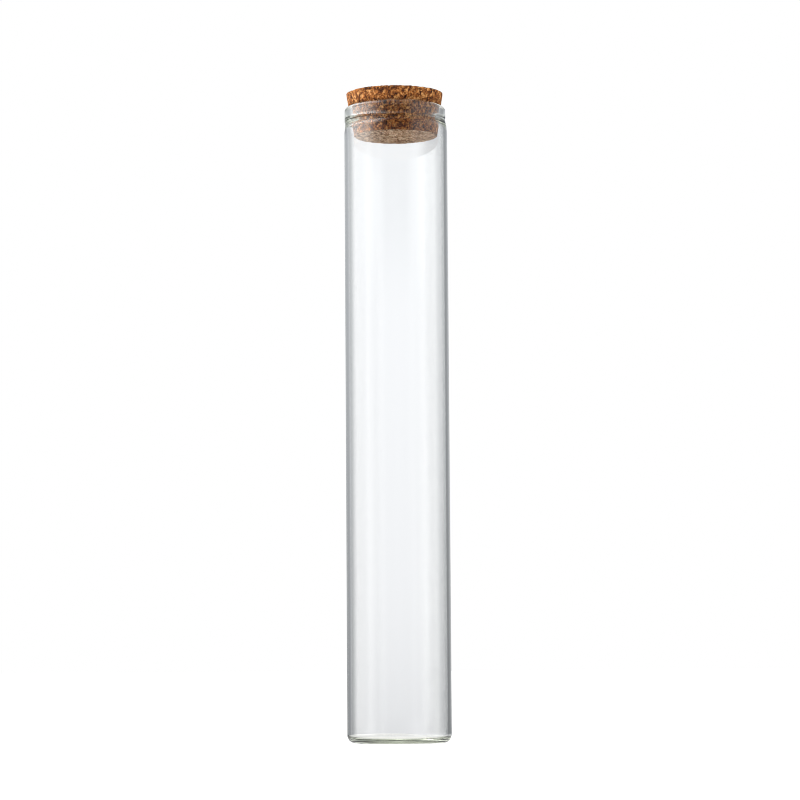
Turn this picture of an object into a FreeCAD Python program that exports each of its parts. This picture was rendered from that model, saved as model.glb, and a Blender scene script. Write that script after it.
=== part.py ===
import FreeCAD, Part
import math
import os

# A flat-bottomed glass tube with a fire-polished lip, closed by a tapered cork pressed into its mouth.
# Millimetres. +Z is up along the tube, and the origin is the middle of the face it stands on.

# the glass tube
tube_diameter = 24.4
tube_height = 150.0
wall = 0.85
base_thickness = 0.95       # glass under the inner floor, where the push-up is deepest
push_up = 0.42              # how far the middle of the base is pressed up off the table
foot_inner_radius = 9.4     # the flat ring that the tube stands on
heel_radius = 1.9           # outside rounding from the foot to the wall
floor_corner_radius = 0.65  # inside rounding from the floor to the wall

# the lip: the flame has gathered the wall into a thick rim, a little narrower than the tube,
# with a tooled groove under it
lip_outer_radius = 11.95
throat_radius = 10.38
lip_outer_rounding = 0.9
groove_radius = 11.85
groove_below_rim = 3.5      # from the rim down to the deepest line of the groove
groove_rise = 0.5           # height over which the groove runs out into the lip
shoulder_below_rim = 5.8    # where the outside has come back to the full diameter
throat_below_rim = 2.8      # where the straight throat ends
flare_below_rim = 5.0       # where the inside has opened to the full bore

# the cork
cork_top_radius = 11.53
cork_bottom_radius = 9.85
cork_height = 10.5
cork_proud = 3.4            # how far the cork stands above the rim
cork_edge_rounding = 0.3
cork_clearance = 0.02       # all round between the squeezed cork and the glass
bulge_above_rim = 0.4       # where the squeezed cork is back on its natural taper

tube_radius = tube_diameter / 2
bore_radius = tube_radius - wall


class Outline:
    """Half a section in the XZ plane, drawn edge by edge from the axis and back to it."""

    def __init__(self, radius, height):
        self.start = self.here = FreeCAD.Vector(radius, 0, height)
        self.edges = []

    def line(self, radius, height):
        end = FreeCAD.Vector(radius, 0, height)
        self.edges.append(Part.LineSegment(self.here, end).toShape())
        self.here = end

    def arc_through(self, middle, end):
        through = FreeCAD.Vector(middle[0], 0, middle[1])
        last = FreeCAD.Vector(end[0], 0, end[1])
        self.edges.append(Part.Arc(self.here, through, last).toShape())
        self.here = last

    def round_about(self, centre, radius, from_degrees, to_degrees):
        """A circular arc about a centre, angles counted from straight out towards straight up."""
        def at(degrees):
            turn = math.radians(degrees)
            return centre[0] + radius * math.cos(turn), centre[1] + radius * math.sin(turn)

        self.arc_through(at((from_degrees + to_degrees) / 2), at(to_degrees))

    def solid(self):
        self.edges.append(Part.LineSegment(self.here, self.start).toShape())
        face = Part.Face(Part.Wire(self.edges))
        turned = face.revolve(FreeCAD.Vector(0, 0, 0), FreeCAD.Vector(0, 0, 1), 360)
        return Part.Solid(turned.Shells[0]) if turned.ShapeType != "Solid" else turned


def dome_height(radius, rise, rim_radius):
    """Height of a shallow dome above its rim, at a distance from its middle."""
    sphere = (rim_radius ** 2 + rise ** 2) / (2 * rise)
    return math.sqrt(sphere ** 2 - radius ** 2) - (sphere - rise)


def make_glass_tube():
    """One piece of glass: push-up base, straight wall, shoulder, tooled groove and rounded lip."""
    outline = Outline(0, push_up)

    # underside: the push-up, the flat foot ring and the heel
    half_way = foot_inner_radius / 2
    dome = dome_height(half_way, push_up, foot_inner_radius)
    outline.arc_through((half_way, dome), (foot_inner_radius, 0))
    outline.line(tube_radius - heel_radius, 0)
    outline.round_about((tube_radius - heel_radius, heel_radius), heel_radius, -90, 0)

    # outside: the wall, the shoulder that draws in to the groove, and the lip
    shoulder = tube_height - shoulder_below_rim
    groove = tube_height - groove_below_rim
    draw_in = tube_radius - groove_radius
    outline.line(tube_radius, shoulder)
    bend = (draw_in ** 2 + (groove - shoulder) ** 2) / (2 * draw_in)
    turn = math.degrees(math.asin((groove - shoulder) / bend))
    outline.round_about((tube_radius - bend, shoulder), bend, 0, turn)
    outline.line(lip_outer_radius, groove + groove_rise)
    outline.line(lip_outer_radius, tube_height - lip_outer_rounding)

    # the rim: a wide rounding outside and a tighter one inside that meet at the top
    top_radius = lip_outer_radius - lip_outer_rounding
    inner_rounding = top_radius - throat_radius
    outline.round_about((top_radius, tube_height - lip_outer_rounding), lip_outer_rounding, 0, 90)
    outline.round_about((top_radius, tube_height - inner_rounding), inner_rounding, 90, 180)

    # inside: the throat, an S-shaped flare made of two equal arcs, the bore, the corner and the floor
    throat_end = tube_height - throat_below_rim
    flare_end = tube_height - flare_below_rim
    flare_out = bore_radius - throat_radius
    flare_down = throat_end - flare_end
    flare_bend = (flare_out ** 2 + flare_down ** 2) / (4 * flare_out)
    flare_turn = math.degrees(math.asin(flare_down / (2 * flare_bend)))
    outline.line(throat_radius, throat_end)
    outline.round_about((throat_radius + flare_bend, throat_end), flare_bend, 180, 180 + flare_turn)
    outline.round_about((bore_radius - flare_bend, flare_end), flare_bend, flare_turn, 0)
    floor = push_up + base_thickness
    outline.line(bore_radius, floor + floor_corner_radius)
    corner = (bore_radius - floor_corner_radius, floor + floor_corner_radius)
    outline.round_about(corner, floor_corner_radius, 0, -90)
    outline.line(0, floor)
    return outline.solid()


def make_cork_stopper():
    """The tapered cork as it sits: squeezed straight by the throat, and on its own taper elsewhere."""
    cork_top = tube_height + cork_proud
    cork_bottom = cork_top - cork_height
    taper = (cork_top_radius - cork_bottom_radius) / cork_height

    def natural_radius(height):
        return cork_bottom_radius + taper * (height - cork_bottom)

    squeezed_radius = throat_radius - cork_clearance
    squeeze_starts = cork_bottom + (squeezed_radius - cork_bottom_radius) / taper
    top_radius = lip_outer_radius - lip_outer_rounding
    inner_rounding = top_radius - throat_radius
    rest_on_rim = 70        # degrees up round the lip's inner edge that the cork follows
    bulge = tube_height + bulge_above_rim

    outline = Outline(0, cork_bottom)
    low = cork_bottom + cork_edge_rounding
    outline.line(natural_radius(low) - cork_edge_rounding, cork_bottom)
    outline.round_about((natural_radius(low) - cork_edge_rounding, low), cork_edge_rounding, -90, 0)
    outline.line(squeezed_radius, squeeze_starts)
    outline.line(squeezed_radius, tube_height - inner_rounding)
    rim_centre = (top_radius, tube_height - inner_rounding)
    outline.round_about(rim_centre, inner_rounding + cork_clearance, 180, 180 - rest_on_rim)
    outline.line(natural_radius(bulge), bulge)
    high = cork_top - cork_edge_rounding
    outline.line(natural_radius(high), high)
    outline.round_about((natural_radius(high) - cork_edge_rounding, high), cork_edge_rounding, 0, 90)
    outline.line(0, cork_top)
    return outline.solid()


def main():
    os.makedirs("parts", exist_ok=True)
    pieces = {
        "glass_tube": make_glass_tube(),
        "cork_stopper": make_cork_stopper(),
    }
    for name, shape in pieces.items():
        shape.exportStep(f"parts/{name}.step")
        box = shape.BoundBox
        print(name, shape.ShapeType, "valid", shape.isValid(), "volume", round(shape.Volume, 1),
              "z", round(box.ZMin, 3), round(box.ZMax, 3), "width", round(box.XLength, 3))


main()
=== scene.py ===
import bpy
import numpy as np
from mathutils import Matrix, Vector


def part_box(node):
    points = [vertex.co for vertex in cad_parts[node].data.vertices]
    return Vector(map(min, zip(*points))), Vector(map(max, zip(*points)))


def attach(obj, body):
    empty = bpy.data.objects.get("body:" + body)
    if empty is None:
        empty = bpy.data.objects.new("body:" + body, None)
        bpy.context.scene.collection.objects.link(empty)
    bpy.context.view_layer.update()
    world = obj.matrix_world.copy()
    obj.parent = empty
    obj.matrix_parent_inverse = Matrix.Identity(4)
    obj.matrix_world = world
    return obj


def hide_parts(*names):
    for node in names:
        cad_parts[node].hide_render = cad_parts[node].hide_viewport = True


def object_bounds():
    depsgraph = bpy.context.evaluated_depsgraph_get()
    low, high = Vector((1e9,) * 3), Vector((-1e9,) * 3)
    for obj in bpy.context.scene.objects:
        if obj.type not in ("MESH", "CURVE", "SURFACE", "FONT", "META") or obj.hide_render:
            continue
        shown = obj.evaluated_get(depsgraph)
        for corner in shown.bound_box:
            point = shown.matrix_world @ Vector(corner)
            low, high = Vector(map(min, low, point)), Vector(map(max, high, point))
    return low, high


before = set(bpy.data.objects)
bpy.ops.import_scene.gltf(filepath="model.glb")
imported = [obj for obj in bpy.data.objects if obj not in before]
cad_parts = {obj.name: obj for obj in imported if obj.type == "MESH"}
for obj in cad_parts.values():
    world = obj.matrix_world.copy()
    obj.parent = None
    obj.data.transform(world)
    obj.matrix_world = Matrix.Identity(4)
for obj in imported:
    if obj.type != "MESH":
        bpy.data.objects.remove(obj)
cadLow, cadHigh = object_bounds()
mm = 0.001
print("frame loaded:", ", ".join(sorted(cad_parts)))


def linearColour(hexCode):
    # sRGB hex to linear: the dark end divided by 12.92, the rest as ((c + 0.055) / 1.055) to the power 2.4
    code = hexCode.lstrip("#")
    srgb = np.array([int(code[i:i + 2], 16) / 255 for i in (0, 2, 4)])
    linear = np.where(srgb <= 0.04045, srgb / 12.92, ((srgb + 0.055) / 1.055) ** 2.4)
    return (*linear.tolist(), 1.0)


def addNode(tree, kind, inputs=None, **settings):
    # adds a node, sets its properties, then fills or links its inputs
    node = tree.nodes.new(kind)
    for name, value in settings.items():
        setattr(node, name, value)
    for socket, value in (inputs or {}).items():
        if isinstance(value, bpy.types.NodeSocket):
            tree.links.new(value, node.inputs[socket])
        else:
            node.inputs[socket].default_value = value
    return node


def setStops(ramp, stops):
    # stops: (position, hex colour) pairs, two at least
    elements = ramp.color_ramp.elements
    while len(elements) < len(stops):
        elements.new(1.0)
    for element, (position, hexCode) in zip(elements, stops):
        element.position = position
        element.color = linearColour(hexCode)


def easeStep(low, high, value):
    # 0 below low, 1 above high, and 3t^2 - 2t^3 between them
    t = np.clip((value - low) / (high - low), 0, 1)
    return t * t * (3 - 2 * t)


def filletedPath(corners, arcStep, lineStep):
    # A polyline of (radius, height, fillet) corners, in mm. Each inner corner is replaced by the circle arc
    # of its fillet that touches both sides. Arcs are cut every arcStep degrees, and lines every lineStep mm.
    points = np.array([c[:2] for c in corners], float)
    pieces = [points[:1]]
    for i in range(1, len(points) - 1):
        before = points[i] - points[i - 1]
        after = points[i + 1] - points[i]
        before = before / np.linalg.norm(before)
        after = after / np.linalg.norm(after)
        turn = np.arctan2(before[0] * after[1] - before[1] * after[0], before @ after)
        fillet = corners[i][2]
        start = points[i] - before * fillet * np.tan(abs(turn) / 2)
        inward = np.sign(turn) * np.array([-before[1], before[0]])
        steps = max(2, int(np.ceil(np.degrees(abs(turn)) / arcStep)))
        sweep = np.linspace(0, abs(turn), steps + 1)[:, None]
        arc = start + fillet * (inward * (1 - np.cos(sweep)) + before * np.sin(sweep))
        pieces += [dividedLine(pieces[-1][-1], arc[0], lineStep), arc]
    pieces += [dividedLine(pieces[-1][-1], points[-1], lineStep), points[-1:]]
    path = np.concatenate(pieces)
    apart = np.linalg.norm(np.diff(path, axis=0), axis=1) > 1e-5
    return path[np.concatenate([[True], apart])]


def dividedLine(start, end, lineStep):
    # the inner points of a straight run, evenly spaced, ends left out
    steps = max(1, int(np.ceil(np.linalg.norm(end - start) / lineStep)))
    share = np.arange(1, steps)[:, None] / steps
    return start + (end - start) * share


def roundPiece(name, rings, firstPole, lastPole, attributes=None):
    # A closed surface of rings around the Z axis, rings[row, column] in mm, shut by a fan at each pole.
    # Rows run with the outside of the shape on their right, so every face points outwards.
    rows, columns = rings.shape[:2]
    points = np.concatenate([rings.reshape(-1, 3), [firstPole, lastPole]]) * mm
    index = np.arange(rows * columns).reshape(rows, columns)
    beside = np.roll(index, -1, axis=1)
    quads = np.stack([index[:-1], beside[:-1], beside[1:], index[1:]], axis=-1).reshape(-1, 4)
    firstFan = np.stack([np.full(columns, rows * columns), beside[0], index[0]], axis=-1)
    lastFan = np.stack([index[-1], beside[-1], np.full(columns, rows * columns + 1)], axis=-1)
    mesh = bpy.data.meshes.new(name)
    mesh.from_pydata(points.tolist(), [], quads.tolist() + firstFan.tolist() + lastFan.tolist())
    for label, values in (attributes or {}).items():
        layer = mesh.attributes.new(label, "FLOAT", "POINT")
        ends = [values[0].mean(), values[-1].mean()]
        layer.data.foreach_set("value", np.concatenate([values.reshape(-1), ends]).astype(np.float32))
    mesh.shade_smooth()
    mesh.update()
    piece = bpy.data.objects.new(name, mesh)
    bpy.context.scene.collection.objects.link(piece)
    return piece


def cellRandom(cells, seed):
    # a fixed random number from 0 to 1 for each whole-number cell, by multiplying and folding its bits
    primes = np.array([73856093, 19349663, 83492791], np.uint64)
    mixed = (cells.astype(np.int64).astype(np.uint64) * primes).sum(axis=-1) + np.uint64(seed * 2654435761)
    mixed = (mixed ^ (mixed >> np.uint64(29))) * np.uint64(0xBF58476D1CE4E5B9)
    mixed = (mixed ^ (mixed >> np.uint64(32))) * np.uint64(0x94D049BB133111EB)
    return ((mixed ^ (mixed >> np.uint64(31))) >> np.uint64(40)).astype(float) / 2 ** 24


def smoothNoise(points, size, seed):
    # random values on a cubic lattice of that size, blended between the eight corners with 3t^2 - 2t^3
    place = points / size
    cell = np.floor(place)
    blend = easeStep(0, 1, place - cell)
    total = 0
    for corner in np.ndindex(2, 2, 2):
        corner = np.array(corner)
        weight = np.prod(np.where(corner, blend, 1 - blend), axis=-1)
        total = total + weight * cellRandom(cell + corner, seed)
    return total


def granules(points, size, seed):
    # One random centre in each cubic cell. Gives the distance to the nearest centre, how much further the
    # next one is, and a random number that belongs to the nearest.
    place = points / size
    cell = np.floor(place)
    nearest = np.full(points.shape[:-1], 9.0)  # cells, further than any centre can be
    second = nearest.copy()
    owner = np.zeros_like(nearest)
    for offset in np.ndindex(3, 3, 3):
        near = cell + np.array(offset) - 1
        jitter = np.stack([cellRandom(near, seed + axis) for axis in range(3)], axis=-1)
        distance = np.linalg.norm(near + jitter - place, axis=-1)
        closer = distance < nearest
        second = np.where(closer, nearest, np.minimum(second, distance))
        owner = np.where(closer, cellRandom(near, seed + 7), owner)
        nearest = np.minimum(nearest, distance)
    return nearest * size, (second - nearest) * size, owner


camera = dict(
    sideways=0.6, distance=711.6, height=17.2,  # mm, from the tube's axis and its foot
    pitchUp=5.07, roll=-0.38,  # degrees
    lens=136.43,  # mm, on a sensor 36 mm wide
)


def makeCamera(s):
    data = bpy.data.cameras.new("studioCamera")
    data.lens = s["lens"]
    data.sensor_width = 36
    cam = bpy.data.objects.new("studioCamera", data)
    bpy.context.scene.collection.objects.link(cam)
    place = Matrix.Translation((s["sideways"] * mm, -s["distance"] * mm, s["height"] * mm))
    pitch = Matrix.Rotation(np.radians(90 + s["pitchUp"]), 4, "X")
    roll = Matrix.Rotation(np.radians(s["roll"]), 4, "Z")
    cam.matrix_world = place @ (pitch @ roll)
    bpy.context.scene.camera = cam


makeCamera(camera)
print("camera placed")


# The studio: a plain room with soft panels of light around the object. They show in the glass.

studio = dict(
    dim=(0.193, 0.20, 0.212), bright=(0.298, 0.31, 0.330),  # the room between the panels, low down and higher
    roomFrom=(-4.0, 9.0),  # elevations between which it brightens, degrees
    ceiling=(0.20, 0.20, 0.21),
    ceilingFrom=(14.0, 24.0),
    table=(0.765, 0.765, 0.755), tableWave=0.08,  # the pale table seen from above through the glass
    tableWaves=8.0,  # how many soft waves it has round the object
    tableFrom=(-2.0, -7.0),  # elevations between which the room gives way to it
)

# Degrees. Azimuth is from straight behind the object towards its right. Each panel is full up to the first
# width either side and gone at the second, and its foot and its top fade between two elevations.
panels = [
    dict(azimuth=0, width=(0, 15), low=(-11, 2), high=(16, 26), light=(0.55, 0.554, 0.57)),  # the backdrop
    dict(azimuth=0, width=(1, 4.2), low=(-11, 2), high=(16, 26),
         light=(0.19, 0.192, 0.196)),  # its bright core
    dict(azimuth=0, width=(60, 110), low=(14, 26), high=(55, 80), light=(0.35, 0.35, 0.36)),  # upper haze
    dict(azimuth=-30, width=(14, 28), low=(-10, 12), high=(16, 26),
         light=(0.14, 0.145, 0.155)),  # spill, left
    dict(azimuth=14, width=(3, 11), low=(-10, 2), high=(16, 26),
         light=(0.15, 0.152, 0.158)),  # spill, right
    dict(azimuth=-92, width=(16, 44), low=(-12, 0), high=(40, 62),
         light=(2.35, 2.35, 2.35)),  # key softbox, left
    dict(azimuth=-85, width=(30, 75), low=(20, 36), high=(62, 80), light=(3.9, 3.9, 3.9)),  # its top half
    dict(azimuth=-95, width=(36, 66), low=(-12, 2), high=(14, 30),
         light=(0.4, 0.4, 0.4)),  # wide wash, left
    dict(azimuth=95, width=(32, 58), low=(-12, 2), high=(34, 56), light=(0.53, 0.53, 0.53)),  # fill, right
    dict(azimuth=180, width=(30, 60), low=(-7, 0), high=(6.5, 9),
         light=(0.5, 0.5, 0.51)),  # behind the camera
    dict(azimuth=0, width=(0, 15), low=(-7, 0), high=(6.5, 9),
         light=(-0.05, -0.055, -0.055)),  # takes off what the one above adds to the backdrop in the glass
    dict(azimuth=180, width=(20, 44), low=(6.5, 9), high=(30, 50),
         light=(-0.22, -0.22, -0.22)),  # darker above the camera
    dict(azimuth=180, width=(90, 130), low=(-120, -110), high=(-66, -36),
         light=(4.4, 4.05, 3.7), mattOnly=True),  # lit table, for matt surfaces only
    dict(azimuth=0, width=(181, 182), low=(-120, -110), high=(-52, -28),
         light=(0.22, 0.22, 0.18)),  # table straight below
    dict(azimuth=0, width=(181, 182), low=(58, 76), high=(100, 120), light=(0.55, 0.55, 0.55)),  # overhead
]


def makeStudio(s, panels):
    world = bpy.data.worlds.new("studio")
    world.use_nodes = True
    bpy.context.scene.world = world
    tree = world.node_tree
    tree.nodes.clear()
    coord = addNode(tree, "ShaderNodeTexCoord")
    axes = addNode(tree, "ShaderNodeSeparateXYZ", {0: coord.outputs["Generated"]})
    turn = addNode(tree, "ShaderNodeMath", {0: axes.outputs["X"], 1: axes.outputs["Y"]}, operation="ARCTAN2")
    azimuth = addNode(tree, "ShaderNodeMath", {0: turn.outputs[0]}, operation="DEGREES").outputs[0]
    rise = addNode(tree, "ShaderNodeMath", {0: axes.outputs["Z"]}, operation="ARCSINE")
    elevation = addNode(tree, "ShaderNodeMath", {0: rise.outputs[0]}, operation="DEGREES").outputs[0]

    def fade(angle, ends, start=0.0, stop=1.0):
        # eases from start to stop as the angle goes between its two ends
        inputs = {"Value": angle, 1: ends[0], 2: ends[1], 3: start, 4: stop}
        return addNode(tree, "ShaderNodeMapRange", inputs, interpolation_type="SMOOTHSTEP").outputs[0]

    def product(a, b):
        return addNode(tree, "ShaderNodeMath", {0: a, 1: b}, operation="MULTIPLY").outputs[0]

    # the room: a dim ring at eye level, a darker ceiling, and the table below with its soft wave
    up = fade(elevation, s["ceilingFrom"])
    higher = fade(elevation, s["roomFrom"])
    ring = addNode(tree, "ShaderNodeMix", {"Factor": higher, 6: (*s["dim"], 1), 7: (*s["bright"], 1)},
                   data_type="RGBA")
    room = addNode(tree, "ShaderNodeMix", {"Factor": up, 6: ring.outputs[2], 7: (*s["ceiling"], 1)},
                   data_type="RGBA")
    waves = product(turn.outputs[0], s["tableWaves"])
    ripple = addNode(tree, "ShaderNodeMath", {0: waves}, operation="COSINE").outputs[0]
    table = addNode(tree, "ShaderNodeVectorMath", {0: ripple, 1: (s["tableWave"],) * 3, 2: s["table"]},
                    operation="MULTIPLY_ADD")
    down = fade(elevation, s["tableFrom"])
    total = addNode(tree, "ShaderNodeMix", {"Factor": down, 6: room.outputs[2], 7: table.outputs[0]},
                    data_type="RGBA").outputs[2]
    # the panels are added one on another
    path = addNode(tree, "ShaderNodeLightPath")
    # 1 for light that a matt surface has met on its way, else 0
    onMatt = addNode(tree, "ShaderNodeMath", {0: path.outputs["Diffuse Depth"], 1: 1.0}, operation="MINIMUM")
    for panel in panels:
        offset = addNode(tree, "ShaderNodeMath", {0: azimuth, 1: panel["azimuth"]}, operation="SUBTRACT")
        away = addNode(tree, "ShaderNodeMath", {0: offset.outputs[0], 1: 180.0}, operation="PINGPONG")
        tall = product(fade(elevation, panel["low"]), fade(elevation, panel["high"], 1.0, 0.0))
        shape = product(fade(away.outputs[0], panel["width"], 1.0, 0.0), tall)
        if panel.get("mattOnly"):
            shape = product(shape, onMatt.outputs[0])
        total = addNode(tree, "ShaderNodeVectorMath", {0: shape, 1: panel["light"], 2: total},
                        operation="MULTIPLY_ADD").outputs[0]
    # seen directly, the sweep behind the object is plain white
    shown = addNode(tree, "ShaderNodeMix", {"Factor": path.outputs["Is Camera Ray"], 6: total,
                    7: (1, 1, 1, 1)}, data_type="RGBA")
    back = addNode(tree, "ShaderNodeBackground", {"Color": shown.outputs[2]})
    addNode(tree, "ShaderNodeOutputWorld", {"Surface": back.outputs[0]})


floorSheet = dict(
    halfSide=20.0,  # m
    glow=0.9, matt=0.22,  # its own light, and the share of the studio's light that it throws back
)


def makeFloor(s):
    # A plain pale table at the foot of the object. Its own glow carries it to white, so that the object's
    # shadow stays faint, and glass shows the studio instead of it.
    halfSide = s["halfSide"]
    mesh = bpy.data.meshes.new("paleTable")
    corners = [(x * halfSide, y * halfSide, cadLow.z) for x, y in ((-1, -1), (1, -1), (1, 1), (-1, 1))]
    mesh.from_pydata(corners, [], [(0, 1, 2, 3)])
    floor = bpy.data.objects.new("paleTable", mesh)
    bpy.context.scene.collection.objects.link(floor)
    material = bpy.data.materials.new("matt white table")
    material.use_nodes = True
    tree = material.node_tree
    tree.nodes.clear()
    glow = addNode(tree, "ShaderNodeEmission", {"Color": (1, 1, 1, 1), "Strength": s["glow"]})
    matt = addNode(tree, "ShaderNodeBsdfDiffuse", {"Color": (s["matt"],) * 3 + (1,)})
    both = addNode(tree, "ShaderNodeAddShader", {0: glow.outputs[0], 1: matt.outputs[0]})
    addNode(tree, "ShaderNodeOutputMaterial", {"Surface": both.outputs[0]})
    mesh.materials.append(material)
    floor.visible_transmission = False
    floor.visible_glossy = False
    floor.visible_diffuse = False


makeStudio(studio, panels)
makeFloor(floorSheet)
print("studio lit")


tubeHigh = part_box("glass_tube")[1]
glassTube = dict(
    radius=tubeHigh.x / mm, rim=tubeHigh.z / mm,
    wall=0.85, base=0.95,
    pushUp=0.42, footRadius=9.4, heel=1.9, floorCorner=0.65,
    lipRadius=11.95, throatRadius=10.38, rimOuter=0.90, rimInner=0.67,
    grooveRadius=11.82, grooveBelow=3.45, grooveRise=0.5,
    shoulderBelow=5.8, throatBelow=2.8, flareBelow=5.0,
    columns=288,  # mesh faces round the tube
    arcStep=5.0, lineStep=2.4,  # and along its outline: degrees of an arc, mm of a straight run
    lipShift=-0.18,  # the lip was tooled a little off the tube's axis
    grooveTilt=0.42,  # and the groove under it isn't level
    heelStretch=0.35,  # the heel is rounder on one side
    shoulderFillet=12.0, grooveFillet=0.22, lipUnderFillet=0.35, throatFillet=4.0, flareFillet=4.0,
    drawWave=0.004, toolWave=0.030,  # unevenness left from drawing the tubing and from tooling its hot ends
    footShare=0.6,  # how much of the tooling's unevenness the foot shows
    # where each change comes in or goes out, in mm up from the foot or out from the axis
    heelRise=(0, 1.6), heelFade=(2, 10), hotFootTop=(5.0, 1.5), hotFootOut=(2.0, 9.0), lipOut=(10.9, 11.6),
    # and in mm down from the rim
    grooveFoot=(5.6, 4.0), grooveHead=(1.0, 2.6), lipFoot=(4.6, 3.0), drawnTop=(0.2, 4.0),
    hotOutside=((6.5, 4.2), (0.3, 2.6)), hotInside=((7.0, 5.0), (2.6, 4.2)),
    # waves round each skin: their numbers round the tube, the height over which they drift, and a seed
    drawnOutside=((2, 3, 4, 5, 7, 9), 30, 11), drawnInside=((2, 3, 4, 6, 8), 24, 12),
    tooledOutside=((3, 4, 5, 7, 8, 11), 1.5, 13), tooledInside=((3, 5, 6, 9, 10), 1.2, 14),
)


def tubeProfile(s):
    # from the middle of the foot, out and up the outer wall, over the rim, and down inside to the middle of
    # the floor
    boreRadius = s["radius"] - s["wall"]
    floorHeight = s["pushUp"] + s["base"]
    corners = [
        (0, 0, 0),
        (s["radius"], 0, s["heel"]),
        (s["radius"], s["rim"] - s["shoulderBelow"], s["shoulderFillet"]),
        (s["grooveRadius"], s["rim"] - s["grooveBelow"], s["grooveFillet"]),
        (s["lipRadius"], s["rim"] - s["grooveBelow"] + s["grooveRise"], s["lipUnderFillet"]),
        (s["lipRadius"], s["rim"], s["rimOuter"]),
        (s["throatRadius"], s["rim"], s["rimInner"]),
        (s["throatRadius"], s["rim"] - s["throatBelow"], s["throatFillet"]),
        (boreRadius, s["rim"] - s["flareBelow"], s["flareFillet"]),
        (boreRadius, floorHeight, s["floorCorner"]),
        (0, floorHeight, 0),
    ]
    return filletedPath(corners, s["arcStep"], s["lineStep"])


def ringWaves(angle, height, harmonics, pitch, seed):
    # a sum of cosines round the ring, each drifting slowly with height, scaled to about 1
    draw = np.random.default_rng(seed)
    total = 0
    for harmonic in harmonics:
        phase, drift, size = draw.uniform(0, 2 * np.pi), draw.uniform(-1, 1) / pitch, draw.uniform(0.5, 1)
        total = total + size * np.cos(harmonic * angle + phase + drift * height)
    return total / np.sqrt(len(harmonics))


def makeGlassTube(s):
    path = tubeProfile(s)
    # the outside ends at the top of the rim, at the point nearest the lip's own radius
    rimRow = int(np.argmax(path[:, 1] - 0.01 * np.abs(path[:, 0] - s["lipRadius"])))
    outside = (np.arange(len(path)) < rimRow)[:, None]
    radius, height = path[:, :1], path[:, 1:]
    angle = np.linspace(0, 2 * np.pi, s["columns"], endpoint=False)[None, :]
    below = s["rim"] - height

    # pushed-up foot: a shallow bowl, push-up times 1 - (radius / foot radius)^2
    onFoot = outside & (height < 0.01)
    bowl = s["pushUp"] * np.clip(1 - (radius / s["footRadius"]) ** 2, 0, 1) * onFoot

    # the heel is stretched upwards on the right, fading out up the wall; it moves height, not radius
    stretch = s["heelStretch"] * easeStep(-0.2, 1.0, np.cos(angle)) * outside
    heelLift = stretch * easeStep(*s["heelRise"], height) * (1 - easeStep(*s["heelFade"], height))

    # the groove tilts, low on the left and high on the right
    nearGroove = easeStep(*s["grooveFoot"], below) * easeStep(*s["grooveHead"], below) * outside
    grooveLift = s["grooveTilt"] * np.cos(angle) * nearGroove

    # Drawn tubing is very slightly wavy, and more so where it was tooled hot. Each wave is a sum of cosines,
    # and it pushes the radius in and out.
    draw = np.where(outside, ringWaves(angle, height, *s["drawnOutside"]),
                    ringWaves(angle, height, *s["drawnInside"]))
    tool = np.where(outside, ringWaves(angle, height, *s["tooledOutside"]),
                    ringWaves(angle, height, *s["tooledInside"]))
    hotOutside = easeStep(*s["hotOutside"][0], below) * easeStep(*s["hotOutside"][1], below)
    hotInside = easeStep(*s["hotInside"][0], below) * easeStep(*s["hotInside"][1], below)
    mouth = np.where(outside, hotOutside, hotInside)
    foot = easeStep(*s["hotFootTop"], height) * easeStep(*s["hotFootOut"], radius)
    tooled = s["toolWave"] * tool * (mouth + s["footShare"] * foot)
    bulge = s["drawWave"] * draw * easeStep(*s["drawnTop"], below) + tooled

    ringRadius = radius + bulge
    onLip = np.where(outside, easeStep(*s["lipOut"], radius), 0)
    shift = s["lipShift"] * easeStep(*s["lipFoot"], below) * onLip
    x = ringRadius * np.cos(angle) + shift
    y = ringRadius * np.sin(angle)
    z = height + bowl + heelLift + grooveLift
    rings = np.stack([x, y, z], axis=-1)
    piece = roundPiece("clear_glass_tube", rings[1:-1], (0, 0, s["pushUp"]), (0, 0, path[-1, 1]))
    print("glass tube:", len(piece.data.polygons), "faces")
    return piece


glassFinish = dict(
    ior=1.50,
    tint=(0.75, 0.90, 0.40, 1), tintDensity=20.0,  # it takes out density times (1 - colour) per metre
    lineSpacing=2.5, lineLength=40.0, lineHeight=0.004,  # draw lines, mm
    filmPatches=260.0, filmRoughness=0.04,  # patches of handling film per metre, and the dullest of them
)


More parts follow.
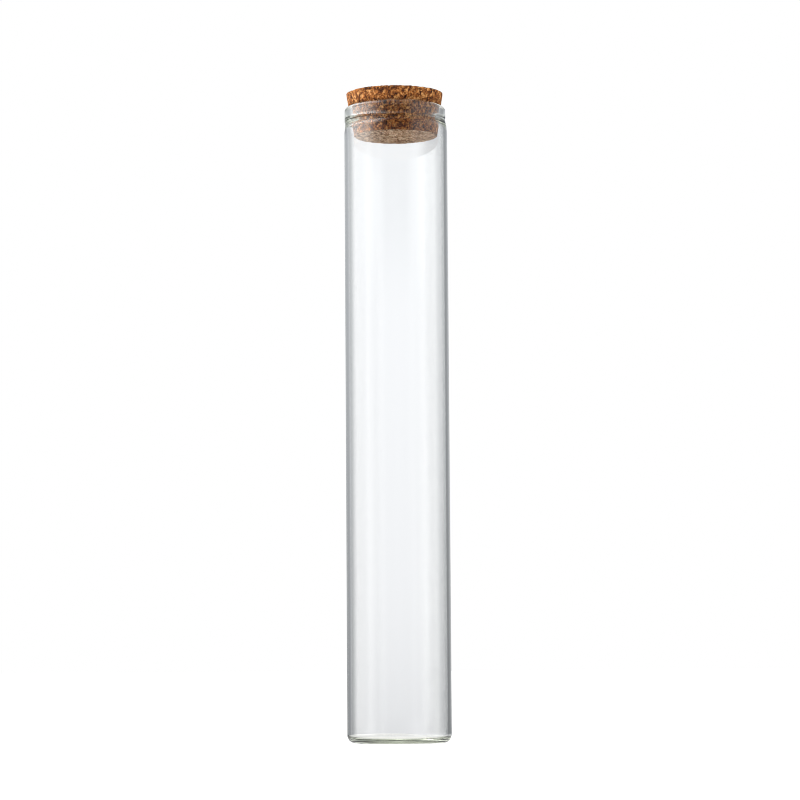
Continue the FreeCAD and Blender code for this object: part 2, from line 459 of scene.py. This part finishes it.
def sodaLimeGlass(s):
    # Soda-lime glass, drawn as tubing and flame-worked at both ends: a clear, fire-polished skin that is
    # nowhere quite flat. Iron in the sand turns long paths through it faintly green.
    material = bpy.data.materials.new("drawn soda-lime glass")
    material.use_nodes = True
    tree = material.node_tree
    tree.nodes.clear()
    coord = addNode(tree, "ShaderNodeTexCoord")
    around = 1 / (s["lineSpacing"] * mm)
    along = 1 / (s["lineLength"] * mm)
    stretched = addNode(tree, "ShaderNodeMapping", {
        "Vector": coord.outputs["Object"], "Scale": (around, around, along)})
    lines = addNode(tree, "ShaderNodeTexNoise", {"Vector": stretched.outputs[0], "Scale": 1.0, "Detail": 2.0})
    bump = addNode(tree, "ShaderNodeBump", {
        "Height": lines.outputs[0], "Strength": 1.0, "Distance": s["lineHeight"] * mm})
    patches = addNode(tree, "ShaderNodeTexNoise", {
        "Vector": coord.outputs["Object"], "Scale": s["filmPatches"], "Detail": 3.0})
    film = addNode(tree, "ShaderNodeMapRange", {
        "Value": patches.outputs[0], 1: 0.35, 2: 0.75, 3: 0.0, 4: s["filmRoughness"]})
    glass = addNode(tree, "ShaderNodeBsdfPrincipled", {
        "Base Color": (1, 1, 1, 1), "IOR": s["ior"], "Transmission Weight": 1.0,
        "Roughness": film.outputs[0], "Normal": bump.outputs[0]})
    tint = addNode(tree, "ShaderNodeVolumeAbsorption", {"Color": s["tint"], "Density": s["tintDensity"]})
    addNode(tree, "ShaderNodeOutputMaterial", {"Surface": glass.outputs[0], "Volume": tint.outputs[0]})
    return material


tube = makeGlassTube(glassTube)
tube.data.materials.append(sodaLimeGlass(glassFinish))
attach(tube, "tube")
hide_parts("glass_tube")


corkLow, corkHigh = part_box("cork_stopper")
corkStopper = dict(
    bottom=corkLow.z / mm, top=corkHigh.z / mm, topRadius=corkHigh.x / mm, bottomRadius=9.85,
    edge=0.22,  # worn edge rounding
    lean=-0.24,  # the head sits a little off the tube's axis
    clearance=0.02,  # between the squeezed cork and the mouth
    columns=420, arcStep=18.0, rowStep=0.17,  # how finely the mesh is cut, as for the tube
    endFace=8.0,  # nearer the axis than this, the outline is a flat end and isn't pinched
    bendSize=0.8,  # of the smooth noise that bends the patterns, mm
    bend=0.7, fineBend=0.4, pitBend=0.5, pitFray=0.12,  # and how far it bends each, mm
    granuleSize=0.80, creaseWidth=(0.02, 0.20), creaseDepth=0.10, swell=0.04,
    pitSize=0.62, pitShare=0.46, pitDepth=0.30,
    pitRadius=0.10, pitGrowth=0.24,  # the smallest pit, and how much larger the largest one is, mm
    pitWidth=1.3,  # pits are this many times as wide as tall
    pitWall=(0.35, 1.0),  # shares of a pit's radius between which its floor rises to the skin
    grainSize=0.30, grainJoint=0.09, grainDepth=0.05,
    grainNoise=0.24,  # size of the finest unevenness, mm
    creaseShade=0.7, jointShade=0.4,  # how dark the creases are painted, as painted shade in them, and how dark the fine joints are; both join the pits' painted shade
    headFill=0.08, headRise=0.6,  # relief that the free head is spared, from this high above the rim, mm
    middle=(-0.8, 1.5),  # radii between which the relief grows to its full depth
    topPaleShare=0.35,  # share of the underside's paleness that the top gets; on the underside the paleness is partly painted light from below
    endRelief=0.22,  # the sliced ends are torn deeper, granule by granule, mm
    granuleTear=0.6, fineTear=0.4,  # shares of it that go with the large and the small granules
)


def taperedRadius(s, height):
    # a straight line from the bottom radius to the top one
    share = (height - s["bottom"]) / (s["top"] - s["bottom"])
    return s["bottomRadius"] + (s["topRadius"] - s["bottomRadius"]) * share


def pinchedRadius(s, glass, height):
    # The stopper's straight taper, pinched wherever the glass mouth is narrower: to the throat's radius below
    # the rim's inner rounding, and along a circle just clear of that rounding above it.
    centre = glass["throatRadius"] + glass["rimInner"]
    reach = glass["rimInner"] + s["clearance"]
    above = np.clip(height - (glass["rim"] - glass["rimInner"]), 0, None)
    mouth = np.where(above < reach, centre - np.sqrt(np.clip(reach ** 2 - above ** 2, 0, None)), np.inf)
    return np.minimum(taperedRadius(s, height), mouth)


def corkProfile(s, glass):
    # from the middle of the underside, out, up the pinched side and in to the middle of the top
    corners = [
        (0, s["bottom"], 0),
        (s["bottomRadius"], s["bottom"], s["edge"]),
        (s["topRadius"], s["top"], s["edge"]),
        (0, s["top"], 0),
    ]
    outline = filletedPath(corners, s["arcStep"], s["rowStep"])
    pinch = pinchedRadius(s, glass, outline[:, 1]) - taperedRadius(s, outline[:, 1])
    outline[:, 0] = np.where(outline[:, 0] > s["endFace"], outline[:, 0] + pinch, outline[:, 0])
    return outline


def makeCork(s, glass):
    path = corkProfile(s, glass)
    along = np.gradient(path, axis=0)
    along /= np.linalg.norm(along, axis=1, keepdims=True)
    outR, outZ = along[:, 1:], -along[:, :1]
    angle = np.linspace(0, 2 * np.pi, s["columns"], endpoint=False)[None, :]
    radius, height = path[:, :1], path[:, 1:]
    skin = np.stack([radius * np.cos(angle), radius * np.sin(angle), height + 0 * angle], axis=-1)

    # granules with bent borders: the cell pattern is read at points pushed about by a smooth noise
    push = np.stack([smoothNoise(skin, s["bendSize"], 31 + axis) for axis in range(3)], axis=-1) - 0.5
    _, border, tone = granules(skin + s["bend"] * push, s["granuleSize"], 41)
    crease = 1 - easeStep(*s["creaseWidth"], border)
    _, fineBorder, fineTone = granules(skin + s["fineBend"] * push, s["grainSize"], 61)
    fineJoint = 1 - easeStep(0.0, s["grainJoint"], fineBorder)
    grain = smoothNoise(skin, s["grainNoise"], 71)

    # pits: some cells of a second pattern hold a torn-out pit, round in the middle and ragged at its edge;
    # further down it is also painted dark, as painted shade
    ragged = skin + s["pitBend"] * push + s["pitFray"] * (fineTone[..., None] - 0.5)
    pitCore, _, pitDraw = granules(ragged * np.array([1, 1, s["pitWidth"]]), s["pitSize"], 81)
    pitRadius = s["pitRadius"] + s["pitGrowth"] * pitDraw / s["pitShare"]
    pit = (1 - easeStep(*s["pitWall"], pitCore / pitRadius)) * (pitDraw < s["pitShare"])

    # the sliced ends: each granule stands at its own height
    cutFace = easeStep(0.5, 0.9, np.abs(outZ)) + 0 * angle
    # paler ends: the sliced faces are paler, the underside fully, where it is partly painted light from
    # below, and the top by a share
    paleEndsAndUnderLight = np.where(outZ < 0, cutFace, s["topPaleShare"] * cutFace)
    torn = s["endRelief"] * (s["granuleTear"] * tone + s["fineTear"] * fineTone) * cutFace

    # Everything is taken off the plain form along its own outward direction, so the stopper never grows into
    # the glass: depth = creases + swell + grain + pits + torn ends, with less of it near the axis.
    relief = s["creaseDepth"] * crease + s["swell"] * tone + s["grainDepth"] * (1 - grain)
    relief = relief + s["pitDepth"] * pit + torn
    head = easeStep(glass["rim"], glass["rim"] + s["headRise"], height)  # 1 on the free head
    inset = -np.clip(relief - s["headFill"] * head, 0, None) * easeStep(*s["middle"], radius)
    x = skin[..., 0] + inset * outR * np.cos(angle) + s["lean"] * head
    y = skin[..., 1] + inset * outR * np.sin(angle)
    z = skin[..., 2] + inset * outZ
    rings = np.stack([x, y, z], axis=-1)
    # painted shade: the pits and creases are marked for a near-black colour, as painted shade in them; the
    # fine joints are marked darker as their own colour
    creaseShadeAndJoints = np.maximum(s["creaseShade"] * crease, s["jointShade"] * fineJoint)
    attributes = dict(granuleTone=tone[1:-1], fineTone=fineTone[1:-1], paleEndsAndUnderLight=paleEndsAndUnderLight[1:-1],
                      hollowShadeAndJoints=np.maximum(pit, creaseShadeAndJoints)[1:-1])
    firstPole = (0, 0, float(z[1].mean()))
    lastPole = (0, 0, float(z[-2].mean()))
    piece = roundPiece("ground_cork_stopper", rings[1:-1], firstPole, lastPole, attributes)
    print("cork stopper:", len(piece.data.polygons), "faces")
    return piece


corkFinish = dict(
    granuleShare=0.30, fineShare=0.40, speckleShare=0.50,  # how much each pattern moves the tone
    browns=[(0.34, "#2a150a"), (0.48, "#7a421a"), (0.64, "#c27636"), (0.82, "#efb06c")],
    # the paler browns of the sliced ends; on the underside their paleness is partly painted light from below
    paleEndBrowns=[(0.34, "#745036"), (0.56, "#cca280"), (0.82, "#f8dfc2")],
    # painted shade: the near-black of the pits and creases, and how much of it they get; the fine joints take
    # it too, as their darker colour
    hollowShadeAndJointColour="#2b150a", hollowShadeAndJointShare=0.9,
    speckleSize=0.25,  # mm; cork cells are 0.04 mm across, too fine to show, so they are drawn this coarse
    roughness=(0.78, 0.95), specular=0.3,
    speckleHeight=0.08,  # mm
)


def agglomeratedCork(s):
    # Agglomerated cork: bark granules pressed together with binder, turned to a taper and sanded. Each
    # granule keeps its own brown, and the fine joints are darker. The pits and the creases between granules
    # are painted near-black, as painted shade in them.
    material = bpy.data.materials.new("sanded agglomerated cork")
    material.use_nodes = True
    tree = material.node_tree
    tree.nodes.clear()
    coord = addNode(tree, "ShaderNodeTexCoord")
    tone = addNode(tree, "ShaderNodeAttribute", attribute_name="granuleTone")
    fine = addNode(tree, "ShaderNodeAttribute", attribute_name="fineTone")
    hollowShadeAndJoints = addNode(tree, "ShaderNodeAttribute", attribute_name="hollowShadeAndJoints")
    speckle = addNode(tree, "ShaderNodeTexNoise", {
        "Vector": coord.outputs["Object"], "Scale": 1 / (s["speckleSize"] * mm),
        "Detail": 3.0, "Roughness": 0.6})
    fineTone = addNode(tree, "ShaderNodeMath", {
        0: fine.outputs["Fac"], 1: s["fineShare"]}, operation="MULTIPLY")
    bothTones = addNode(tree, "ShaderNodeMath", {
        0: tone.outputs["Fac"], 1: s["granuleShare"], 2: fineTone.outputs[0]}, operation="MULTIPLY_ADD")
    allTone = addNode(tree, "ShaderNodeMath", {
        0: speckle.outputs[0], 1: s["speckleShare"], 2: bothTones.outputs[0]}, operation="MULTIPLY_ADD")
    browns = addNode(tree, "ShaderNodeValToRGB", {0: allTone.outputs[0]})
    setStops(browns, s["browns"])
    # the two end faces are sliced, not ground, and paler; the underside is paler than the top, partly as
    # painted light from below
    paleEndsAndUnderLight = addNode(tree, "ShaderNodeAttribute", attribute_name="paleEndsAndUnderLight")
    paleBrowns = addNode(tree, "ShaderNodeValToRGB", {0: allTone.outputs[0]})
    setStops(paleBrowns, s["paleEndBrowns"])
    barkColour = addNode(tree, "ShaderNodeMix", {"Factor": paleEndsAndUnderLight.outputs["Fac"], 6: browns.outputs[0],
                         7: paleBrowns.outputs[0]}, data_type="RGBA")
    # painted shade: the pits and creases are darkened to near-black, and the fine joints are darkened
    hollowShadeAndJointShare = addNode(tree, "ShaderNodeMath", {0: hollowShadeAndJoints.outputs["Fac"], 1: s["hollowShadeAndJointShare"]},
                          operation="MULTIPLY")
    pitted = addNode(tree, "ShaderNodeMix", {"Factor": hollowShadeAndJointShare.outputs[0], 6: barkColour.outputs[2],
                     7: linearColour(s["hollowShadeAndJointColour"])}, data_type="RGBA")
    rough = addNode(tree, "ShaderNodeMapRange", {
        "Value": speckle.outputs[0], 3: s["roughness"][0], 4: s["roughness"][1]})
    bump = addNode(tree, "ShaderNodeBump", {
        "Height": speckle.outputs[0], "Strength": 0.6, "Distance": s["speckleHeight"] * mm})
    bark = addNode(tree, "ShaderNodeBsdfPrincipled", {
        "Base Color": pitted.outputs[2], "Roughness": rough.outputs[0], "Normal": bump.outputs[0],
        "Specular IOR Level": s["specular"]})
    addNode(tree, "ShaderNodeOutputMaterial", {"Surface": bark.outputs[0]})
    return material


cork = makeCork(corkStopper, glassTube)
cork.data.materials.append(agglomeratedCork(corkFinish))
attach(cork, "cork")
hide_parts("cork_stopper")


# how light is followed and shown

light = dict(
    bounces=24, glossyBounces=16, diffuseBounces=3,  # glass needs many: light runs far inside its wall
    filterWidth=1.0,  # a sharper picture than the usual soft filter
)

scene = bpy.context.scene
scene.view_settings.view_transform = "Standard"
scene.cycles.max_bounces = light["bounces"]
scene.cycles.transmission_bounces = light["bounces"]
scene.cycles.glossy_bounces = light["glossyBounces"]
scene.cycles.diffuse_bounces = light["diffuseBounces"]
scene.cycles.filter_width = light["filterWidth"]
print("light paths set")
